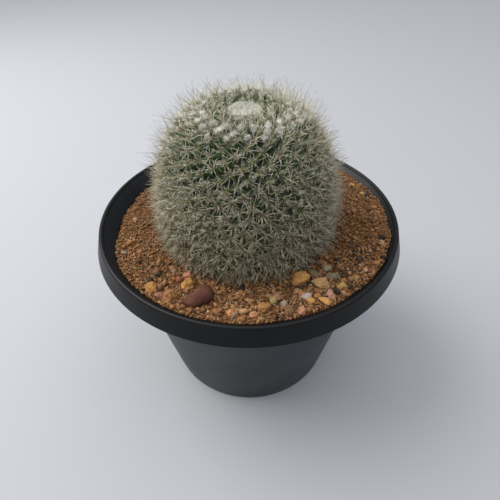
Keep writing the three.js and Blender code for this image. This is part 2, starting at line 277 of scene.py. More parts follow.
def mouldedPolypropylene():
    # injection-moulded black PP: a soft wide sheen over a faint satin grain, with dust and scuffs, and the
    # body below the rim painted a lighter grey as a painted reflection of the bright floor
    material, tree = newMaterial("mouldedPolypropylene")
    place = addNode(tree, "TexCoord").outputs["Object"]
    grain = addNode(tree, "TexNoise", {"Scale": 1400.0, "Detail": 3.0}, {"Vector": place})
    cloud = addNode(tree, "TexNoise", {"Scale": 28.0, "Detail": 5.0}, {"Vector": place})
    stretch = addNode(tree, "Mapping", {"Scale": (60.0, 60.0, 900.0)}, {"Vector": place})
    rings = addNode(tree, "TexNoise", {"Scale": 1.0, "Detail": 2.0}, {"Vector": stretch.outputs[0]})
    colour = setRamp(
        addNode(tree, "ValToRGB", None, {"Fac": cloud.outputs["Fac"]}),
        [(0.35, "#08090a"), (0.7, "#0f1012")],
    )
    speck = addNode(tree, "TexVoronoi", {"Scale": 420.0, "Randomness": 1.0}, {"Vector": place})
    dust = setRamp(
        addNode(tree, "ValToRGB", None, {"Fac": speck.outputs["Distance"]}),
        [(0.035, 1.0), (0.07, 0.0)],
    )
    rare = setRamp(
        addNode(tree, "ValToRGB", None, {"Fac": speck.outputs["Color"]}),
        [(0.86, 0.0), (0.9, 1.0)],
    )
    specks = addNode(tree, "Math", None, {0: dust.outputs[0], 1: rare.outputs[0]}, operation="MULTIPLY")
    # painted reflection: below the rim the body's colour is mixed towards a lighter grey that stands for the
    # bright floor it reflects
    height = addNode(tree, "SeparateXYZ", None, {0: place})
    body = addNode(
        tree, "MapRange", {"From Min": 0.124, "From Max": 0.128, "To Min": 0.7, "To Max": 0.0},
        {"Value": height.outputs["Z"]},
    )
    paintedBodyReflection = addNode(
        tree, "Mix", {7: srgb("#37393e")}, {0: body.outputs[0], 6: colour.outputs[0]}, data_type="RGBA"
    )
    dustOverPaintedReflection = addNode(
        tree, "Mix", {7: srgb("#6f6a61")},
        {0: specks.outputs[0], 6: paintedBodyReflection.outputs[2]}, data_type="RGBA",
    )
    rough = addNode(
        tree, "MapRange", {"From Min": 0.3, "From Max": 0.75, "To Min": 0.34, "To Max": 0.48},
        {"Value": cloud.outputs["Fac"]},
    )
    heights = addNode(
        tree, "Math", {1: 0.6}, {0: rings.outputs["Fac"], 2: grain.outputs["Fac"]},
        operation="MULTIPLY_ADD",
    )
    bump = addNode(tree, "Bump", {"Strength": 0.18, "Distance": 0.0003}, {"Height": heights.outputs[0]})
    plastic = addNode(
        tree, "BsdfPrincipled", {"IOR": 1.49, "Specular IOR Level": 0.2},
        {"Base Color": dustOverPaintedReflection.outputs[2], "Roughness": rough.outputs[0], "Normal": bump.outputs[0]},
    )
    addNode(tree, "OutputMaterial", None, {"Surface": plastic.outputs[0]})
    return material


skirtBottom = rimZ / mm - potShape["skirtDepth"]
flareBottom = potShape["bodyTopRadius"] - potShape["wall"]
flareSlope = (potShape["mouthRadius"] - flareBottom) / (rimZ / mm - 1.1 - skirtBottom)
wallTaper = (potShape["bodyTopRadius"] - potShape["footRadius"]) / skirtBottom


def innerRadius(z):  # the pot's inner face at a height, both in mm
    below = np.minimum(z - skirtBottom, 0) * wallTaper
    return flareBottom + below + np.maximum(z - skirtBottom, 0) * flareSlope


def makePot():
    top = rimZ / mm
    skirt = potHigh.x / mm
    floorRadius = float(innerRadius(potShape["floorCurve"]))
    across, high = potShape["lipAcross"], potShape["lipHigh"]
    lip = [
        (potShape["lipRadius"] + across * math.cos(a), top - high + high * math.sin(a))
        for a in np.linspace(0.1, 3.0, 11)
    ]
    profile = [
        (0, potShape["footRecess"]),
        (20, potShape["footRecess"]),
        (potShape["footInner"] - 1.2, potShape["footRecess"]),
        (potShape["footInner"] - 0.4, potShape["footRecess"] - 0.3),
        (potShape["footInner"] + 0.3, 0.4),
        (potShape["footInner"] + 1.0, 0),
        (65.6, 0),
        (66.8, 0.35),
        (potShape["footRadius"] + 0.05, 1.5),
        (potShape["footRadius"] + 0.5, 4.0),
    ]
    profile += [(potShape["footRadius"] + wallTaper * z, z) for z in (30, 60, 90, 110, skirtBottom - 3)]
    profile += [
        (potShape["bodyTopRadius"] - 0.1, skirtBottom - 1.6),
        (89.6, 128.4),
        (98.0, 136.8),
        (98.8, 137.0),
        (99.5, 136.4),
        (101.7, skirtBottom + 0.6),
        (102.1, skirtBottom - 0.25),
        (102.9, skirtBottom - 0.6),
        (skirt - 0.35, skirtBottom - 0.35),
        (skirt, skirtBottom + 0.4),
        (skirt - 0.9, skirtBottom + 3.5),
        (skirt - 2.2, skirtBottom + 7.8),
    ]
    profile += lip
    profile += [
        (96.8, 138.0),
        (92.5, float(skirtBottom + (92.5 - flareBottom) / flareSlope)),
        (flareBottom + 0.7, skirtBottom + 0.7),
        (flareBottom - 0.1, skirtBottom - 0.8),
        (float(innerRadius(60)), 60),
        (floorRadius, potShape["floorCurve"]),
        (floorRadius - 0.8, 6),
        (floorRadius - 3, potShape["floorTop"]),
        (20, potShape["floorTop"]),
        (0, potShape["floorTop"]),
    ]
    pot = turnProfile("nursery_pot", profile, potShape["segments"])
    drills = []
    for i in range(potShape["drainHoles"]):
        angle = math.tau * i / potShape["drainHoles"]
        bpy.ops.mesh.primitive_cylinder_add(
            vertices=40, radius=potShape["drainRadius"] * mm, depth=12 * mm,
            location=(potShape["drainCircle"] * mm * math.cos(angle),
                      potShape["drainCircle"] * mm * math.sin(angle), 4 * mm),
        )
        drills.append(bpy.context.object)
    for drill in drills:
        applyPlace(drill)
        applyModifier(pot, "BOOLEAN", operation="DIFFERENCE", object=drill, solver="EXACT")
    discard(*drills)
    onlySelect(pot)
    bpy.ops.object.shade_smooth_by_angle(angle=math.radians(38))
    return dressAs(pot, mouldedPolypropylene(), "pot_plastic", "pot")


makePot()
print("pot turned and drilled")

grit = {
    "level": 134.2,
    "slopeX": 0.032,
    "slopeY": -0.015,
    "heap": 3.0,  # how much higher it lies at the front left
    "fineGrains": 14000,
    "middleGrains": 3200,
    "coarseGrains": 950,
    "gap": 0.6,  # between the grit and the pot
    "stemClear": 47,  # no grain lies nearer than this to the plant's axis
    "seed": 11,
}

gritColours = [  # decomposed granite: feldspar, iron-stained ochre, mica and quartz
    (0.0, "#16120e"), (0.1, "#33261a"), (0.2, "#5f3f25"), (0.32, "#875b35"), (0.42, "#6c482b"),
    (0.52, "#98693d"), (0.62, "#7d603c"), (0.72, "#a67c53"), (0.82, "#786a53"), (0.91, "#9a6b4e"),
    (1.0, "#c0b298"),
]


def gritHeight(x, y):  # mm
    ripple = 0.5 * np.sin(x * 0.09 + 1.3) * np.cos(y * 0.11) + 0.3 * np.sin(x * 0.2 + y * 0.17)
    near = np.clip((-0.55 * x - 0.83 * y - 55) / 40, 0, 1)
    heap = grit["heap"] * near**2 * (3 - 2 * near)
    return grit["level"] + grit["slopeX"] * x + grit["slopeY"] * y + ripple + heap


def drySandMatrix():
    # damp-dry sand between the grains: dull, rusty, darker where it is finest
    material, tree = newMaterial("drySandMatrix")
    place = addNode(tree, "TexCoord").outputs["Object"]
    grain = addNode(tree, "TexVoronoi", {"Scale": 900.0}, {"Vector": place})
    patch = addNode(tree, "TexNoise", {"Scale": 60.0, "Detail": 8.0, "Roughness": 0.7}, {"Vector": place})
    mixed = addNode(
        tree, "Mix", {0: 0.55}, {2: patch.outputs["Fac"], 3: grain.outputs["Color"]}, data_type="FLOAT"
    )
    colour = setRamp(
        addNode(tree, "ValToRGB", None, {"Fac": mixed.outputs[0]}),
        [(0.1, "#1e150d"), (0.4, "#4d351f"), (0.6, "#6d4b2b"), (0.85, "#8f683f")],
    )
    bump = addNode(
        tree, "Bump", {"Strength": 1.0, "Distance": 0.0006}, {"Height": grain.outputs["Distance"]}
    )
    sand = addNode(
        tree, "BsdfPrincipled", {"Roughness": 0.95, "IOR": 1.45, "Specular IOR Level": 0.2},
        {"Base Color": colour.outputs[0], "Normal": bump.outputs[0]},
    )
    addNode(tree, "OutputMaterial", None, {"Surface": sand.outputs[0]})
    return material


def crushedGranite():
    # single mineral grains: each one its own colour, matt with a faint glint on the faces
    material, tree = newMaterial("crushedGranite")
    place = addNode(tree, "TexCoord").outputs["Object"]
    tone = addNode(tree, "Attribute", attribute_name="tone")
    stain = addNode(tree, "TexNoise", {"Scale": 1300.0, "Detail": 3.0}, {"Vector": place})
    shifted = addNode(
        tree, "Math", {1: 0.16}, {0: stain.outputs["Fac"], 2: tone.outputs["Fac"]},
        operation="MULTIPLY_ADD",
    )
    back = addNode(tree, "Math", {1: 0.08}, {0: shifted.outputs[0]}, operation="SUBTRACT")
    colour = setRamp(addNode(tree, "ValToRGB", None, {"Fac": back.outputs[0]}), gritColours)
    bump = addNode(tree, "Bump", {"Strength": 0.6, "Distance": 0.0003}, {"Height": stain.outputs["Fac"]})
    stone = addNode(
        tree, "BsdfPrincipled", {"Roughness": 0.82, "IOR": 1.53, "Specular IOR Level": 0.35},
        {"Base Color": colour.outputs[0], "Normal": bump.outputs[0]},
    )
    addNode(tree, "OutputMaterial", None, {"Surface": stone.outputs[0]})
    return material


def makeGritBed():
    gap = grit["gap"]
    floor = float(innerRadius(potShape["floorCurve"]))
    rings = np.linspace(1, 0.02, 56)
    top, wide = 200.0, 1000  # stand for the top and its radius until it is laid on the grit's height
    low = 5.4
    profile = [(0, low), (20, low), (floor - 3 - gap, low), (floor - gap, low + 3)]
    profile += [(flareBottom - gap, skirtBottom)]
    profile += [(wide * share, top) for share in rings] + [(0, top)]
    bed = turnProfile("grit_surface", profile, 150)
    places = cornersOf(bed) / mm
    high = places[:, 2] > top - 1
    x, y = places[high, 0], places[high, 1]
    radius = np.maximum(np.hypot(x, y), 1e-6)
    share = radius / wide
    cos, sin = x / radius, y / radius
    edge = np.full(len(x), potShape["mouthRadius"])
    for _ in range(6):
        edge = innerRadius(gritHeight(edge * cos, edge * sin)) - gap
    x, y = edge * share * cos, edge * share * sin
    rough = np.array([noise.fractal(Vector((a * 0.35, b * 0.35, 3)), 1.0, 2.0, 5) for a, b in zip(x, y)])
    places[high] = np.stack([x, y, gritHeight(x, y) + rough * 0.5 - 0.35], 1)
    moveCorners(bed, places * mm)
    onlySelect(bed)
    bpy.ops.object.shade_smooth()
    return dressAs(bed, drySandMatrix(), "grit", "grit_bed")


# A broken grain: a low icosphere whose twelve corners are pulled in and out by a seeded rule.
def grainPattern(seed):
    bpy.ops.mesh.primitive_ico_sphere_add(subdivisions=1, radius=1)
    grain = bpy.context.object
    rng = np.random.default_rng(seed)
    bpy.ops.object.mode_set(mode="EDIT")
    bpy.ops.mesh.select_all(action="SELECT")
    bpy.ops.transform.resize(value=(1.3, 0.85, 0.68))
    bpy.ops.object.mode_set(mode="OBJECT")
    moveCorners(grain, cornersOf(grain) * rng.uniform(0.62, 1.25, (12, 1)))
    return grain


stoneBoxes = {}


def clearOfStones(x, y):
    clear = np.ones(len(x), bool)
    for low, high in stoneBoxes.values():
        middle, half = (low + high) / 2 / mm, (high - low) / 2 / mm
        clear &= ((x - middle.x) / half.x) ** 2 + ((y - middle.y) / half.y) ** 2 > 0.8
    return clear


def scatterGrains(name, count, small, large, material, seed, frontBias=0.0, toneShift=0.0):
    rng = np.random.default_rng(seed)
    x, y = rng.uniform(-96, 96, (2, count * 3))
    size = small + (large - small) * rng.random(count * 3) ** 2.2
    z = gritHeight(x, y)
    radius = np.hypot(x, y)
    fromStem = np.hypot(x - stemAxis.x / mm, y - stemAxis.y / mm)
    keep = (radius < innerRadius(z) - size * 0.9) & (fromStem > grit["stemClear"]) & clearOfStones(x, y)
    if frontBias:  # the coarse grit lies mostly in front
        wanted = 0.16 + 0.84 * np.clip((-y - 18) / 40, 0, 1) * np.clip((x + 75) / 55, 0.35, 1)
        keep &= rng.random(len(x)) < wanted * frontBias + (1 - frontBias)
    x, y, z, size = (values[keep][:count] for values in (x, y, z, size))
    spins = rng.uniform(0, math.tau, len(x))
    directions = rng.normal(size=(len(x), 3)) + [0, 0, 1.5]
    feet = np.stack([x, y, z + size * rng.uniform(-0.25, 0.45, len(x))], 1) * mm
    flat = rng.uniform(0.65, 1.05, len(x))
    tones = np.clip(rng.triangular(0.08, 0.5 + toneShift, 1.0, len(x)), 0, 1)
    chippy = np.clip((x - 5) / 50, 0, 1) * np.clip(-y / 40, 0, 1)  # dark chips gather at the front right
    dark = rng.random(len(x)) < 0.06 + 0.14 * chippy
    tones[dark] = rng.uniform(0, 0.12, dark.sum())
    kinds = [grainPattern(seed * 10 + i) for i in range(3)]
    parts = []
    for i, kind in enumerate(kinds):
        mine = slice(i, None, 3)
        spots = aim(feet[mine], directions[mine], size[mine] * flat[mine] * mm, size[mine] * mm, spins[mine])
        parts.append(scatter(f"{name}_{i}", kind, spots, tones[mine]))
    discard(*kinds)
    onlySelect(parts[0])
    for part in parts[1:]:
        part.select_set(True)
    bpy.ops.object.join()
    grains = parts[0]
    grains.name = name
    return dressAs(grains, material, "grit")


# name of the CAD stone: length, width, height in mm, turn in degrees, cuts, two colours, slot
stones = {
    "dark_red_stone": (18, 12, 10, 40, 0, "#42241a", "#6a3f30", "red_stone"),
    "salmon_pebble": (6.4, 6.6, 6, 20, 4, "#8f583f", "#b58366", "salmon_stone"),
    "ochre_pebble_left": (8.4, 7.4, 5.6, 65, 4, "#8a5d2c", "#b58a4e", "ochre_stone"),
    "rust_pebble": (4.6, 4.2, 3.6, 10, 2, "#6e3f2a", "#915c42", "red_stone"),
    "ochre_stone_left": (8, 7, 6, 130, 4, "#855a2a", "#b08347", "ochre_stone"),
    "ochre_stone_front_left": (9.4, 8.2, 7.6, 35, 4, "#744a26", "#9b7044", "ochre_stone"),
    "pink_stone_left": (5.6, 5.2, 5.4, 100, 3, "#855343", "#ab7c69", "salmon_stone"),
    "yellow_stone": (10.8, 9.2, 8.6, 10, 5, "#8c5f2c", "#bd9054", "ochre_stone"),
    "ochre_slab": (10.8, 7.2, 5.4, -10, 4, "#8f6a3d", "#b59466", "ochre_stone"),
    "ochre_pebble_right": (5.8, 5.2, 4.6, 15, 3, "#8f6c35", "#b0915a", "ochre_stone"),
    "olive_chip_near": (9, 6, 3.4, -30, 3, "#5f5032", "#7d6f50", "grey_stone"),
    "olive_chip_far": (8.6, 5.4, 3.4, 5, 3, "#5d5440", "#80735a", "grey_stone"),
    "pale_chip": (6, 4.6, 3.4, 35, 3, "#746a55", "#98907a", "grey_stone"),
    "pink_grey_chip": (7.2, 5.2, 4, 5, 4, "#8d7a72", "#b5a49c", "grey_stone"),
    "orange_sliver": (9.2, 4.4, 3.4, -42, 3, "#9c6c36", "#c29458", "ochre_stone"),
    "tan_pebble_right": (4.8, 4.4, 4, 0, 2, "#a9793f", "#c59a62", "ochre_stone"),
    "salmon_pebble_right": (6, 4.6, 5, 75, 4, "#94604a", "#b88a6e", "salmon_stone"),
    "brown_stone": (7, 6.2, 5, -20, 4, "#5c452b", "#7f6343", "grey_stone"),
    "grey_pebble": (4.6, 4.4, 4.2, 60, 3, "#7f7362", "#a0937f", "grey_stone"),
    "tan_stone_front": (7.6, 6.2, 5.4, 20, 3, "#85592f", "#a97f50", "ochre_stone"),
    "olive_pebble_front": (5, 5, 4.2, 45, 2, "#7d6a40", "#9c8a5c", "ochre_stone"),
    "pink_chip_right": (7, 4.6, 4, 115, 3, "#966c58", "#bb9482", "salmon_stone"),
    "salmon_pebble_front": (5.8, 4.4, 4, 10, 4, "#8f5b3e", "#af7e5e", "salmon_stone"),
    "salmon_sliver_front": (5.4, 4, 3.6, -15, 3, "#9c653c", "#b98459", "salmon_stone"),
    "slate_chip_back": (8.6, 5.4, 3.8, 40, 4, "#5f5747", "#847b68", "grey_stone"),
    "ochre_stone_back": (9.6, 8, 6.2, 25, 4, "#8f6130", "#b58548", "ochre_stone"),
    "tan_pebble_back": (6.4, 5.4, 4.8, 70, 3, "#8a6a42", "#aa8658", "ochre_stone"),
}

for title in stones:
    stoneBoxes[title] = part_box(title)


def weatheredStone(name, deep, pale):
    # weathered granite pieces: dull skin, blotches of iron stain, pitted by lost grains
    material, tree = newMaterial(name)
    place = addNode(tree, "TexCoord").outputs["Object"]
    blotch = addNode(tree, "TexNoise", {"Scale": 240.0, "Detail": 6.0, "Roughness": 0.65}, {"Vector": place})
    pits = addNode(tree, "TexVoronoi", {"Scale": 1100.0}, {"Vector": place})
    mixed = addNode(
        tree, "Mix", {0: 0.25}, {2: blotch.outputs["Fac"], 3: pits.outputs["Distance"]}, data_type="FLOAT"
    )
    colour = setRamp(
        addNode(tree, "ValToRGB", None, {"Fac": mixed.outputs[0]}),
        [(0.36, deep), (0.74, pale)],
    )
    rough = addNode(
        tree, "MapRange", {"From Min": 0.3, "From Max": 0.7, "To Min": 0.7, "To Max": 0.92},
        {"Value": blotch.outputs["Fac"]},
    )
    bump = addNode(tree, "Bump", {"Strength": 0.7, "Distance": 0.0004}, {"Height": mixed.outputs[0]})
    stone = addNode(
        tree, "BsdfPrincipled", {"IOR": 1.5, "Specular IOR Level": 0.3},
        {"Base Color": colour.outputs[0], "Roughness": rough.outputs[0], "Normal": bump.outputs[0]},
    )
    addNode(tree, "OutputMaterial", None, {"Surface": stone.outputs[0]})
    return material


def makeStone(title, number):
    length, width, height, turn, cuts, deep, pale, slotName = stones[title]
    rng = np.random.default_rng(100 + number)
    bpy.ops.mesh.primitive_ico_sphere_add(subdivisions=4, radius=0.5)
    stone = bpy.context.object
    bpy.ops.object.mode_set(mode="EDIT")
    for _ in range(cuts * 2):  # broken faces
        normal = Vector(rng.normal(size=3)).normalized()
        bpy.ops.mesh.select_all(action="SELECT")
        bpy.ops.mesh.bisect(
            plane_co=normal * rng.uniform(0.3, 0.42), plane_no=normal, use_fill=True, clear_outer=True
        )
    bpy.ops.mesh.select_all(action="SELECT")
    bpy.ops.mesh.normals_make_consistent(inside=False)
    bpy.ops.object.mode_set(mode="OBJECT")
    applyModifier(stone, "REMESH", mode="VOXEL", voxel_size=0.028)
    applyModifier(stone, "SMOOTH", factor=0.6, iterations=3)
    places = cornersOf(stone)
    offset = Vector((number * 7.3, 0, 0))
    swell = np.array([noise.fractal(Vector(p) * 2.4 + offset, 0.9, 2.1, 5) for p in places])
    places *= 1 + (0.2 if cuts else 0.05) * swell[:, None]
    low, high = places.min(0), places.max(0)
    places = (places - (low + high) / 2) / (high - low) * [length, width, height]
    if title == "dark_red_stone":  # a bean with blunt ends, one thicker, and a shallow waist
        share = np.clip(places[:, 0] / length, -0.499, 0.499)
        blunt = np.sqrt((1 - (2 * share) ** 4) / (1 - (2 * share) ** 2))
        places[:, 1] *= blunt * (0.86 - 0.12 * np.exp(-(((share + 0.1) / 0.15) ** 2)) + 0.2 * share)
        places[:, 2] *= blunt * (0.9 + 0.25 * share)
        places[:, 1] += 4 * share**2 - 0.6
    a = math.radians(turn)
    turned = np.stack(
        [places[:, 0] * math.cos(a) - places[:, 1] * math.sin(a),
         places[:, 0] * math.sin(a) + places[:, 1] * math.cos(a), places[:, 2]], 1
    )
    middle = (stoneBoxes[title][0] + stoneBoxes[title][1]) / 2
    moveCorners(stone, turned * mm + np.array(middle))
    stone.name = title + "_worn"
    onlySelect(stone)
    bpy.ops.object.shade_smooth()
    return dressAs(stone, weatheredStone("stone_" + title, deep, pale), slotName, title)


makeGritBed()
sandGrain = crushedGranite()
fineEach = grit["fineGrains"] // 2
for half in range(2):
    scatterGrains(f"grit_fine_{half + 1}", fineEach, 0.35, 0.85, sandGrain, grit["seed"] + half, 0, -0.03)
scatterGrains("grit_middle", grit["middleGrains"], 0.7, 1.45, sandGrain, grit["seed"] + 5, 0.75, -0.05)
scatterGrains("grit_coarse", grit["coarseGrains"], 1.1, 2.9, sandGrain, grit["seed"] + 7, 1.0, -0.12)
print("grit spread")
for number, title in enumerate(stones):
    makeStone(title, number)
print("stones set")

plant = {
    "radius": 54.5,
    "waist": 147.2,
    "upper": 76.4,
    "power": 2.29,
    "lower": 44.0,
    "hollow": 10.0,
    "hollowWidth": 22.0,
    "area": 43.0,  # mm2 for each knob
    "youngArea": 14.0,
    "youngReach": 26.0,
    "rows": 21,
    "rowPhase": math.radians(10.9),
    "phaseReach": 28.0,
    "lowest": 133.2,
    "valley": 4.6,
    "knobLength": 3.7,  # half sizes along and across the row
    "knobWidth": 2.9,
    "knobOver": 2.2,  # how far a knob's root goes below the valley
    "tipLift": 0.12,  # how much the knobs point up
    "voxel": 0.97,
}
capSteps = 241
goldenAngle = -math.pi * (3 - math.sqrt(5))
axisXY = np.array([stemAxis.x, stemAxis.y]) / mm


def growthTrack():
    r = plant["radius"] * np.sin(np.linspace(0, math.pi / 2, capSteps))
    egg = plant["upper"] * np.clip(1 - (r / plant["radius"]) ** plant["power"], 0, 1) ** (1 / plant["power"])
    z = plant["waist"] + egg - plant["hollow"] * np.exp(-((r / plant["hollowWidth"]) ** 2))
    zLow = np.linspace(plant["waist"], 128, 61)[1:]
    rLow = plant["radius"] * np.sqrt(1 - ((plant["waist"] - zLow) / plant["lower"]) ** 2)
    r, z = np.append(r, rLow), np.append(z, zLow)
    steps = np.hypot(np.diff(r), np.diff(z))
    reach = np.append(0, np.cumsum(steps))
    young = np.clip(reach[1:] / plant["youngReach"], 0, 1)
    areas = plant["youngArea"] + (plant["area"] - plant["youngArea"]) * young**2 * (3 - 2 * young)
    middle = np.maximum((r[1:] + r[:-1]) / 2, 0.2)
    count = np.append(0, np.cumsum(math.tau * middle * steps / areas))
    return r, z, reach, count


trackR, trackZ, trackReach, trackCount = growthTrack()
rowTurn = goldenAngle + math.tau * 8 / plant["rows"]
spiralStart = plant["rowPhase"] - rowTurn * np.interp(plant["phaseReach"], trackReach, trackCount)


def onStem(reach, angle, lift=0.0):  # points in mm, and the outward normals
    reach = np.asarray(reach, float)
    r, z = np.interp(reach, trackReach, trackR), np.interp(reach, trackReach, trackZ)
    ahead, behind = reach + 0.8, np.maximum(reach - 0.8, 0)
    dr = np.interp(ahead, trackReach, trackR) - np.interp(behind, trackReach, trackR)
    dz = np.interp(ahead, trackReach, trackZ) - np.interp(behind, trackReach, trackZ)
    size = np.hypot(dr, dz)
    nr, nz = -dz / size, dr / size
    normal = np.stack([nr * np.cos(angle), nr * np.sin(angle), nz], -1)
    place = np.stack([axisXY[0] + r * np.cos(angle), axisXY[1] + r * np.sin(angle), z], -1)
    return place + normal * np.asarray(lift)[..., None], normal


falling = slice(capSteps - 40, None)  # from here on the profile only goes down
knobCount = int(np.interp(-plant["lowest"], -trackZ[falling], trackCount[falling]))
knobNumber = np.arange(knobCount) + 0.5
knobReach = np.interp(knobNumber, trackCount, trackReach)
knobAngle = spiralStart + goldenAngle * knobNumber
knobTip, knobNormal = onStem(knobReach, knobAngle)
knobAge = knobReach / knobReach.max()
youngShare = np.clip(knobReach / plant["youngReach"], 0, 1)
knobSize = np.sqrt(
    (plant["youngArea"] + (plant["area"] - plant["youngArea"]) * youngShare) / plant["area"]
)
areoleNormal = unit(knobNormal + [0, 0, plant["tipLift"]])
print("knobs on the spiral:", knobCount)


def rowDirection(reach, angle):  # along the rows of knobs, away from the crown
    step = 0.5
    count, further = (np.interp(place, trackReach, trackCount) for place in (reach, reach + step))
    ahead, _ = onStem(reach + step, angle + rowTurn * (further - count))
    here, normal = onStem(reach, angle)
    way = ahead - here
    return unit(way - normal * (way * normal).sum(-1, keepdims=True))


knobAlong = rowDirection(knobReach, knobAngle)
knobAcross = np.cross(knobNormal, knobAlong)


def rowAngle(reach, row):
    return spiralStart + rowTurn * np.interp(reach, trackReach, trackCount) + row / plant["rows"] * math.tau


def cactusSkin():
    # living epidermis: deep green with a waxy sheen, fresher at the crown, corky and brown at the foot, with
    # painted shade in near black green deep in the valleys between the knobs
    material, tree = newMaterial("cactusSkin")
    place = addNode(tree, "TexCoord").outputs["Object"]
    age, knob = (addNode(tree, "Attribute", attribute_name=title) for title in ("age", "tone"))
    mottle = addNode(tree, "TexNoise", {"Scale": 220.0, "Detail": 5.0, "Roughness": 0.6}, {"Vector": place})
    green = setRamp(
        addNode(tree, "ValToRGB", None, {"Fac": mottle.outputs["Fac"]}),
        [(0.3, "#25431a"), (0.55, "#3d5f25"), (0.75, "#587b36")],
    )
    # painted shade: the skin turns near black green the deeper it lies between the knobs
    valley = addNode(
        tree, "Mix", {6: srgb("#12220d")}, {0: knob.outputs["Fac"], 7: green.outputs[0]}, data_type="RGBA"
    )
    corky = setRamp(
        addNode(tree, "ValToRGB", None, {"Fac": age.outputs["Fac"]}),
        [(0.72, 0.0), (1.0, 0.85)],
    )
    skin = addNode(
        tree, "Mix", {7: srgb("#3a2f1e")}, {0: corky.outputs[0], 6: valley.outputs[2]}, data_type="RGBA"
    )
    pores = addNode(tree, "TexVoronoi", {"Scale": 2600.0}, {"Vector": place})
    bump = addNode(
        tree, "Bump", {"Strength": 0.25, "Distance": 0.0002}, {"Height": pores.outputs["Distance"]}
    )
    rough = addNode(tree, "MapRange", {"To Min": 0.42, "To Max": 0.62}, {"Value": mottle.outputs["Fac"]})
    flesh = addNode(
        tree, "BsdfPrincipled", {"IOR": 1.42, "Subsurface Weight": 0.08, "Subsurface Scale": 0.002},
        {"Base Color": skin.outputs[2], "Roughness": rough.outputs[0], "Normal": bump.outputs[0]},
    )
    addNode(tree, "OutputMaterial", None, {"Surface": flesh.outputs[0]})
    return material


def knobPattern():
    bpy.ops.mesh.primitive_uv_sphere_add(segments=10, ring_count=8, radius=1)
    knob = bpy.context.object
    places = cornersOf(knob)  # a blunt cone with its tip at the origin
    height = (places[:, 2] + 1) / 2
    girth = 1.0 - 0.62 * height**1.5
    places[:, :2] *= girth[:, None]
    places[:, 2] = (places[:, 2] - 1) / 2
    moveCorners(knob, places)
    return knob


def makeStem():
    low = stemLow.z / mm
    steps = np.linspace(2.2, trackReach[-1], 60)
    middle = []
    for reach in steps:
        place, _ = onStem(reach, 0.0, -plant["valley"] * min(1.0, 0.45 + reach / 40))
        middle.append((float(place[0] - axisXY[0]), float(place[2])))
    profile = [(0, middle[0][1])] + middle
    buried = [(42, 121), (30, 112.5), (18, 106), (11, 100), (8, 92), (6.4, 83), (5, 74), (3.6, 66)]
    buried += [(2, low + 1.2)]
    profile += buried + [(0.6, low + 0.1), (0, low)]
    body = turnProfile("stem_body", profile[::-1], 96, axisXY * mm)
    knob = knobPattern()
    size = knobSize[:, None] * mm
    spots = spotsFrom(
        knobTip * mm, knobAlong * plant["knobLength"] * size, knobAcross * plant["knobWidth"] * size,
        areoleNormal * (plant["valley"] + plant["knobOver"]) * mm * knobSize[:, None] ** 0.5,
    )
    knobs = scatter("stem_knobs", knob, spots, np.zeros(knobCount))
    discard(knob)
    onlySelect(body)
    knobs.select_set(True)
    bpy.ops.object.join()
    applyModifier(body, "REMESH", mode="VOXEL", voxel_size=plant["voxel"] * mm)
    applyModifier(body, "SMOOTH", factor=0.5, iterations=2)
    body.name = "cactus_body"
    places = cornersOf(body) / mm
    r = np.hypot(places[:, 0] - axisXY[0], places[:, 1] - axisXY[1])
    # how far along the profile each corner stands, and how near the tips' surface, which sets the skin's
    # painted shade in the valleys
    tree = np.stack([trackR, trackZ], 1)
    nearest = np.empty(len(places), int)
    for i in range(0, len(places), 4000):
        part = np.stack([r, places[:, 2]], 1)[i : i + 4000]
        nearest[i : i + 4000] = np.argmin(((part[:, None] - tree[None]) ** 2).sum(-1), 1)
    depth = np.hypot(r - trackR[nearest], places[:, 2] - trackZ[nearest])
    for title, values in (
        ("age", trackReach[nearest] / knobReach.max()),
        ("tone", np.clip(1 - depth / plant["valley"], 0, 1)),
    ):
        if title in body.data.attributes:
            body.data.attributes.remove(body.data.attributes[title])
        attribute = body.data.attributes.new(title, "FLOAT", "POINT")
        attribute.data.foreach_set("value", values.astype(np.float32))
    onlySelect(body)
    bpy.ops.object.shade_smooth()
    return dressAs(body, cactusSkin(), "cactus_skin", "cactus_stem")


makeStem()
print("stem grown")

spines = {
    "radialEach": 46,
    "centralEach": 6,
    "radialGirth": 0.105,
    "centralGirth": 0.12,
    "stoutShare": 0.4,  # the rest of the radials are as fine as hair
    "groove": 0.66,  # how much shorter the radials are across the grooves
    "seed": 5,
}
spineReach = [0, 10, 20, 30, 45, 60, 75, 95]  # mm from the crown, with the lengths and lifts there
radialLengths = [1.2, 1.8, 4.4, 6.0, 5.3, 5.0, 5.6, 7.0]
radialLifts = [1.1, 1.0, 0.9, 0.85, 0.8, 0.7, 0.6, 0.45]
centralLengths = [1.9, 2.8, 8.0, 11.0, 11.0, 10.8, 10.2, 9.4]


# Horny needle: a dull gloss with worn patches, and light shining through from behind.
def finishNeedle(tree, colour, glow):
    place = addNode(tree, "TexCoord").outputs["Object"]
    wear = addNode(tree, "TexNoise", {"Scale": 900.0, "Detail": 2.0}, {"Vector": place})
    rough = addNode(tree, "MapRange", {"To Min": 0.35, "To Max": 0.65}, {"Value": wear.outputs["Fac"]})
    horn = addNode(
        tree, "BsdfPrincipled", {"IOR": 1.5}, {"Base Color": colour, "Roughness": rough.outputs[0]}
    )
    through = addNode(tree, "BsdfTranslucent", None, {"Color": colour})
    mixed = addNode(tree, "MixShader", {0: glow}, {1: horn.outputs[0], 2: through.outputs[0]})
    addNode(tree, "OutputMaterial", None, {"Surface": mixed.outputs[0]})


